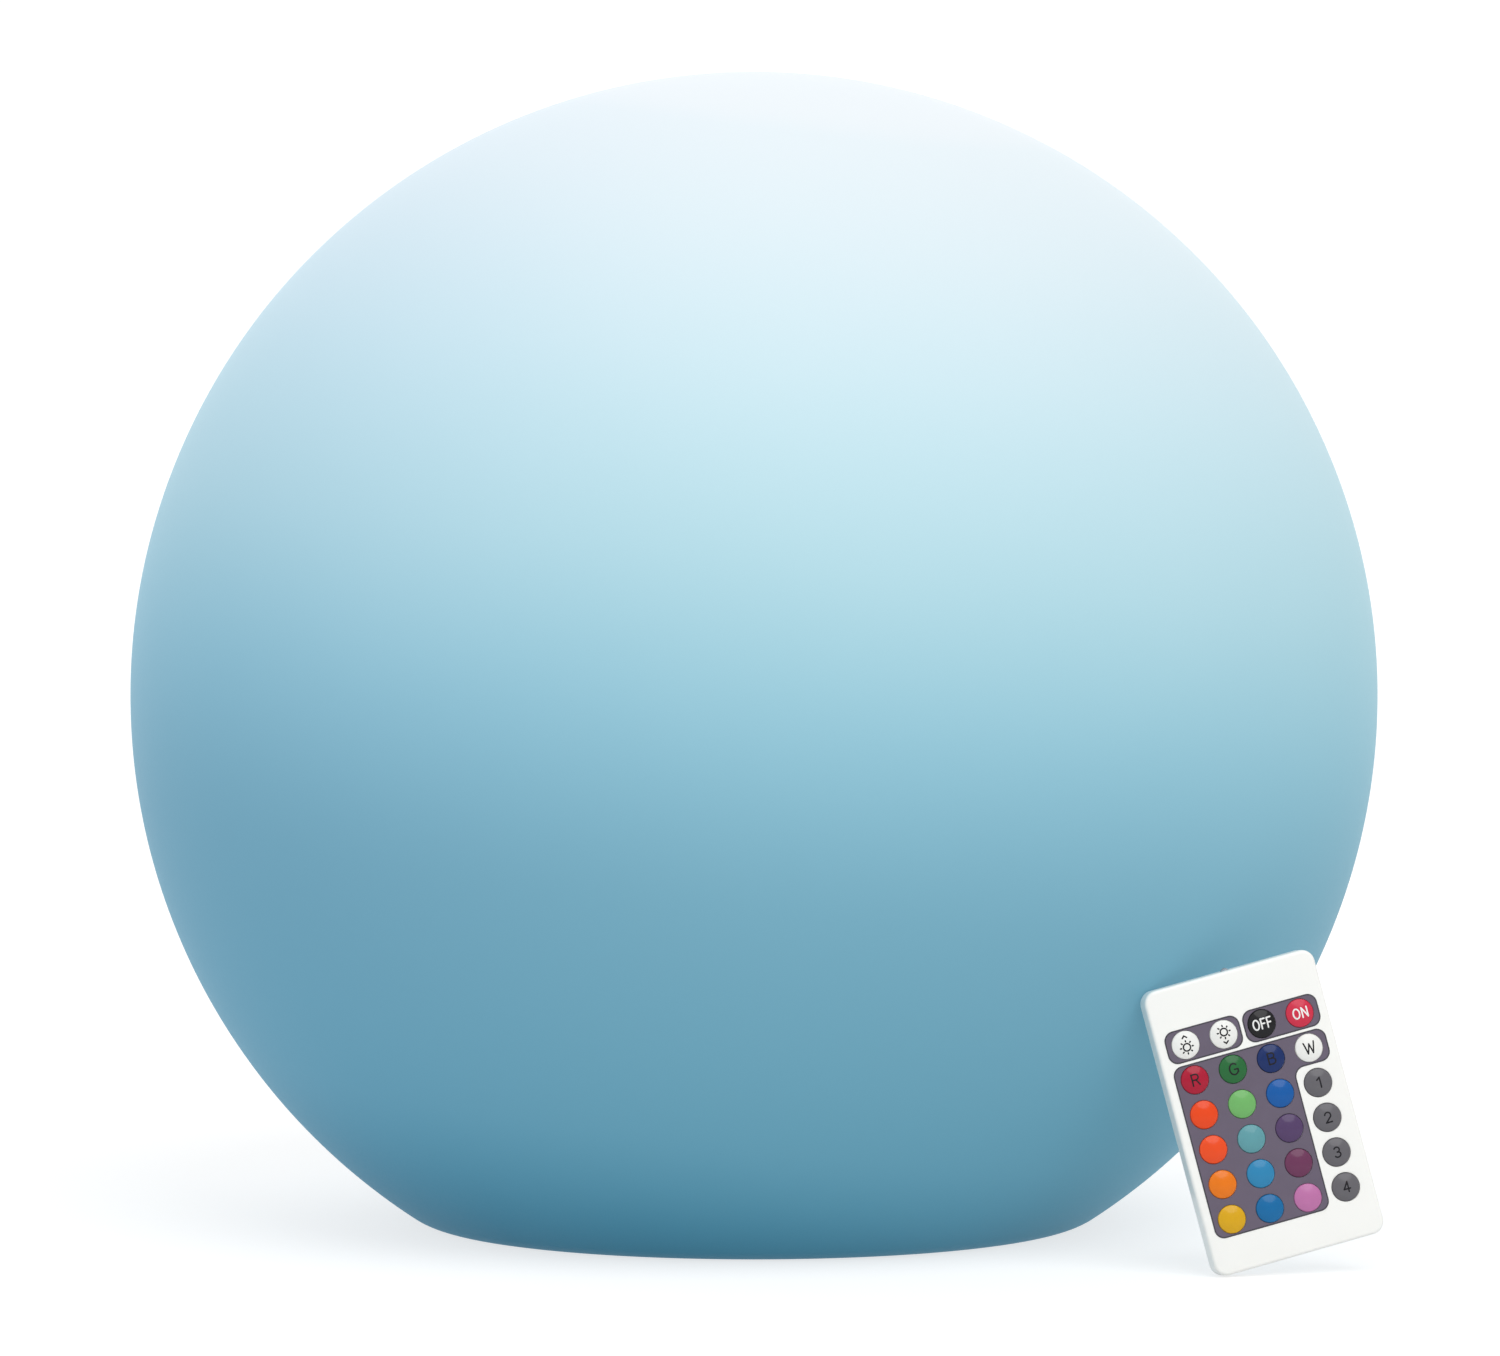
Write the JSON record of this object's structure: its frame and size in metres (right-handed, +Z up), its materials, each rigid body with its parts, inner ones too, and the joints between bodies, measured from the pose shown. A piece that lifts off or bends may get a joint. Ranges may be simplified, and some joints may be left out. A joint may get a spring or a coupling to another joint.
{
  "type": "garden globe light",
  "caption": "White moulded globe garden light with a flat foot, a sealed rechargeable lamp module in its base and a colour keypad remote leaning on it.",
  "frame": {"origin": "on the ground under the middle of the ball", "axes": "+Z up, -Y to the front where the remote stands, +X to the right"},
  "size_m": [0.38, 0.38, 0.3515],
  "materials": {
    "globe_plastic": "rotationally moulded polyethylene, fine satin skin, lit from inside",
    "brass": "turned and knurled",
    "silicone_grey": "moulded silicone",
    "silicone_black": "moulded silicone",
    "housing_plastic": "moulded, fine texture",
    "steel": "passivated screws",
    "button_rubber": "moulded silicone, translucent grey",
    "black_plastic": "moulded",
    "board_green": "solder mask over glass laminate",
    "board_white": "white solder mask over aluminium",
    "led_resin": "moulded lamp bodies with resin lens",
    "ir_resin": "dark moulded resin",
    "clear_plastic": "clear polycarbonate",
    "cell_wrap": "shrink-wrapped cells",
    "foam": "closed-cell foam",
    "strap_steel": "plated spring steel",
    "lead_vinyl": "ribbon cable",
    "remote_white": "moulded, satin",
    "remote_print": "printed film",
    "mat_rubber": "moulded silicone mat",
    "card_brown": "paper laminate circuit card",
    "cell_steel": "rolled steel can",
    "contact_bronze": "plated spring strip",
    "key_rubber_white": "moulded silicone key",
    "key_rubber_off": "moulded silicone key",
    "key_rubber_on": "moulded silicone key",
    "key_rubber_red": "moulded silicone key",
    "key_rubber_green": "moulded silicone key",
    "key_rubber_blue": "moulded silicone key",
    "key_rubber_orange": "moulded silicone key",
    "key_rubber_light_green": "moulded silicone key",
    "key_rubber_royal_blue": "moulded silicone key",
    "key_rubber_grey": "moulded silicone key",
    "key_rubber_amber": "moulded silicone key",
    "key_rubber_teal": "moulded silicone key",
    "key_rubber_violet": "moulded silicone key",
    "key_rubber_gold": "moulded silicone key",
    "key_rubber_sky_blue": "moulded silicone key",
    "key_rubber_magenta": "moulded silicone key",
    "key_rubber_yellow": "moulded silicone key",
    "key_rubber_azure": "moulded silicone key",
    "key_rubber_pink": "moulded silicone key"
  },
  "bodies": {
    "globe": {"globe_shell": "globe_plastic", "shell_inserts": "brass", "flange_gasket": "silicone_grey", "lamp_housing": "housing_plastic", "flange_screws": "steel", "base_cover": "housing_plastic", "cover_seal": "silicone_black", "cover_screws": "steel", "power_switch": "black_plastic", "control_board": "board_green", "charge_socket": "black_plastic", "flap_anchor": "silicone_grey", "status_lens": "clear_plastic", "led_board": "board_white", "color_leds": "led_resin", "ir_receiver": "ir_resin", "lens_dome": "clear_plastic", "lens_seal": "silicone_black", "small_screws": "steel", "battery_cells": "cell_wrap", "battery_pad": "foam", "battery_strap": "strap_steel", "lamp_leads": "lead_vinyl"},
    "power_button": {"power_button": "button_rubber", "switch_plunger": "black_plastic"},
    "socket_flap": {"socket_flap": "silicone_grey"},
    "remote": {"remote_front": "remote_white", "remote_back": "remote_white", "remote_overlay": "remote_print", "key_mat": "mat_rubber", "remote_board": "card_brown", "remote_chip": "black_plastic", "ir_emitter": "clear_plastic", "cell_contacts": "contact_bronze"},
    "battery_tray": {"battery_tray": "remote_white", "coin_cell": "cell_steel"},
    "key_brighter": {"key_brighter": "key_rubber_white"},
    "key_dimmer": {"key_dimmer": "key_rubber_white"},
    "key_off": {"key_off": "key_rubber_off"},
    "key_on": {"key_on": "key_rubber_on"},
    "key_red": {"key_red": "key_rubber_red"},
    "key_green": {"key_green": "key_rubber_green"},
    "key_blue": {"key_blue": "key_rubber_blue"},
    "key_white": {"key_white": "key_rubber_white"},
    "key_orange": {"key_orange": "key_rubber_orange"},
    "key_light_green": {"key_light_green": "key_rubber_light_green"},
    "key_royal_blue": {"key_royal_blue": "key_rubber_royal_blue"},
    "key_mode_1": {"key_mode_1": "key_rubber_grey"},
    "key_amber": {"key_amber": "key_rubber_amber"},
    "key_teal": {"key_teal": "key_rubber_teal"},
    "key_violet": {"key_violet": "key_rubber_violet"},
    "key_mode_2": {"key_mode_2": "key_rubber_grey"},
    "key_gold": {"key_gold": "key_rubber_gold"},
    "key_sky_blue": {"key_sky_blue": "key_rubber_sky_blue"},
    "key_magenta": {"key_magenta": "key_rubber_magenta"},
    "key_mode_3": {"key_mode_3": "key_rubber_grey"},
    "key_yellow": {"key_yellow": "key_rubber_yellow"},
    "key_azure": {"key_azure": "key_rubber_azure"},
    "key_pink": {"key_pink": "key_rubber_pink"},
    "key_mode_4": {"key_mode_4": "key_rubber_grey"}
  },
  "joints": [
    {"name": "power_button_press", "type": "slide", "parent": "globe", "child": "power_button", "axis": [0, 0, 1], "range_m": [0, 0.0008], "stiffness_N_per_m": 1500, "springref_m": -0.0006},
    {"name": "socket_flap_hinge", "type": "hinge", "parent": "globe", "child": "socket_flap", "pos_m": [0, -0.033, 0.007], "axis": [-1, 0, 0], "range_deg": [0, 110]},
    {"name": "remote_lift", "type": "slide", "parent": "globe", "child": "remote", "axis": [0.2068, -0.9728, 0.1045], "range_m": [0, 0.2]},
    {"name": "battery_tray_slide", "type": "slide", "parent": "remote", "child": "battery_tray", "axis": [0.2577, -0.0489, -0.965], "range_m": [0, 0.026]},
    {"name": "key_brighter_press", "type": "slide", "parent": "remote", "child": "key_brighter", "axis": [-0.2068, 0.9728, -0.1045], "range_m": [0, 0.0005], "stiffness_N_per_m": 2500, "springref_m": -0.0003},
    {"name": "key_dimmer_press", "type": "slide", "parent": "remote", "child": "key_dimmer", "axis": [-0.2068, 0.9728, -0.1045], "range_m": [0, 0.0005], "stiffness_N_per_m": 2500, "springref_m": -0.0003},
    {"name": "key_off_press", "type": "slide", "parent": "remote", "child": "key_off", "axis": [-0.2068, 0.9728, -0.1045], "range_m": [0, 0.0005], "stiffness_N_per_m": 2500, "springref_m": -0.0003},
    {"name": "key_on_press", "type": "slide", "parent": "remote", "child": "key_on", "axis": [-0.2068, 0.9728, -0.1045], "range_m": [0, 0.0005], "stiffness_N_per_m": 2500, "springref_m": -0.0003},
    {"name": "key_red_press", "type": "slide", "parent": "remote", "child": "key_red", "axis": [-0.2068, 0.9728, -0.1045], "range_m": [0, 0.0005], "stiffness_N_per_m": 2500, "springref_m": -0.0003},
    {"name": "key_green_press", "type": "slide", "parent": "remote", "child": "key_green", "axis": [-0.2068, 0.9728, -0.1045], "range_m": [0, 0.0005], "stiffness_N_per_m": 2500, "springref_m": -0.0003},
    {"name": "key_blue_press", "type": "slide", "parent": "remote", "child": "key_blue", "axis": [-0.2068, 0.9728, -0.1045], "range_m": [0, 0.0005], "stiffness_N_per_m": 2500, "springref_m": -0.0003},
    {"name": "key_white_press", "type": "slide", "parent": "remote", "child": "key_white", "axis": [-0.2068, 0.9728, -0.1045], "range_m": [0, 0.0005], "stiffness_N_per_m": 2500, "springref_m": -0.0003},
    {"name": "key_orange_press", "type": "slide", "parent": "remote", "child": "key_orange", "axis": [-0.2068, 0.9728, -0.1045], "range_m": [0, 0.0005], "stiffness_N_per_m": 2500, "springref_m": -0.0003},
    {"name": "key_light_green_press", "type": "slide", "parent": "remote", "child": "key_light_green", "axis": [-0.2068, 0.9728, -0.1045], "range_m": [0, 0.0005], "stiffness_N_per_m": 2500, "springref_m": -0.0003},
    {"name": "key_royal_blue_press", "type": "slide", "parent": "remote", "child": "key_royal_blue", "axis": [-0.2068, 0.9728, -0.1045], "range_m": [0, 0.0005], "stiffness_N_per_m": 2500, "springref_m": -0.0003},
    {"name": "key_mode_1_press", "type": "slide", "parent": "remote", "child": "key_mode_1", "axis": [-0.2068, 0.9728, -0.1045], "range_m": [0, 0.0005], "stiffness_N_per_m": 2500, "springref_m": -0.0003},
    {"name": "key_amber_press", "type": "slide", "parent": "remote", "child": "key_amber", "axis": [-0.2068, 0.9728, -0.1045], "range_m": [0, 0.0005], "stiffness_N_per_m": 2500, "springref_m": -0.0003},
    {"name": "key_teal_press", "type": "slide", "parent": "remote", "child": "key_teal", "axis": [-0.2068, 0.9728, -0.1045], "range_m": [0, 0.0005], "stiffness_N_per_m": 2500, "springref_m": -0.0003},
    {"name": "key_violet_press", "type": "slide", "parent": "remote", "child": "key_violet", "axis": [-0.2068, 0.9728, -0.1045], "range_m": [0, 0.0005], "stiffness_N_per_m": 2500, "springref_m": -0.0003},
    {"name": "key_mode_2_press", "type": "slide", "parent": "remote", "child": "key_mode_2", "axis": [-0.2068, 0.9728, -0.1045], "range_m": [0, 0.0005], "stiffness_N_per_m": 2500, "springref_m": -0.0003},
    {"name": "key_gold_press", "type": "slide", "parent": "remote", "child": "key_gold", "axis": [-0.2068, 0.9728, -0.1045], "range_m": [0, 0.0005], "stiffness_N_per_m": 2500, "springref_m": -0.0003},
    {"name": "key_sky_blue_press", "type": "slide", "parent": "remote", "child": "key_sky_blue", "axis": [-0.2068, 0.9728, -0.1045], "range_m": [0, 0.0005], "stiffness_N_per_m": 2500, "springref_m": -0.0003},
    {"name": "key_magenta_press", "type": "slide", "parent": "remote", "child": "key_magenta", "axis": [-0.2068, 0.9728, -0.1045], "range_m": [0, 0.0005], "stiffness_N_per_m": 2500, "springref_m": -0.0003},
    {"name": "key_mode_3_press", "type": "slide", "parent": "remote", "child": "key_mode_3", "axis": [-0.2068, 0.9728, -0.1045], "range_m": [0, 0.0005], "stiffness_N_per_m": 2500, "springref_m": -0.0003},
    {"name": "key_yellow_press", "type": "slide", "parent": "remote", "child": "key_yellow", "axis": [-0.2068, 0.9728, -0.1045], "range_m": [0, 0.0005], "stiffness_N_per_m": 2500, "springref_m": -0.0003},
    {"name": "key_azure_press", "type": "slide", "parent": "remote", "child": "key_azure", "axis": [-0.2068, 0.9728, -0.1045], "range_m": [0, 0.0005], "stiffness_N_per_m": 2500, "springref_m": -0.0003},
    {"name": "key_pink_press", "type": "slide", "parent": "remote", "child": "key_pink", "axis": [-0.2068, 0.9728, -0.1045], "range_m": [0, 0.0005], "stiffness_N_per_m": 2500, "springref_m": -0.0003},
    {"name": "key_mode_4_press", "type": "slide", "parent": "remote", "child": "key_mode_4", "axis": [-0.2068, 0.9728, -0.1045], "range_m": [0, 0.0005], "stiffness_N_per_m": 2500, "springref_m": -0.0003}
  ]
}
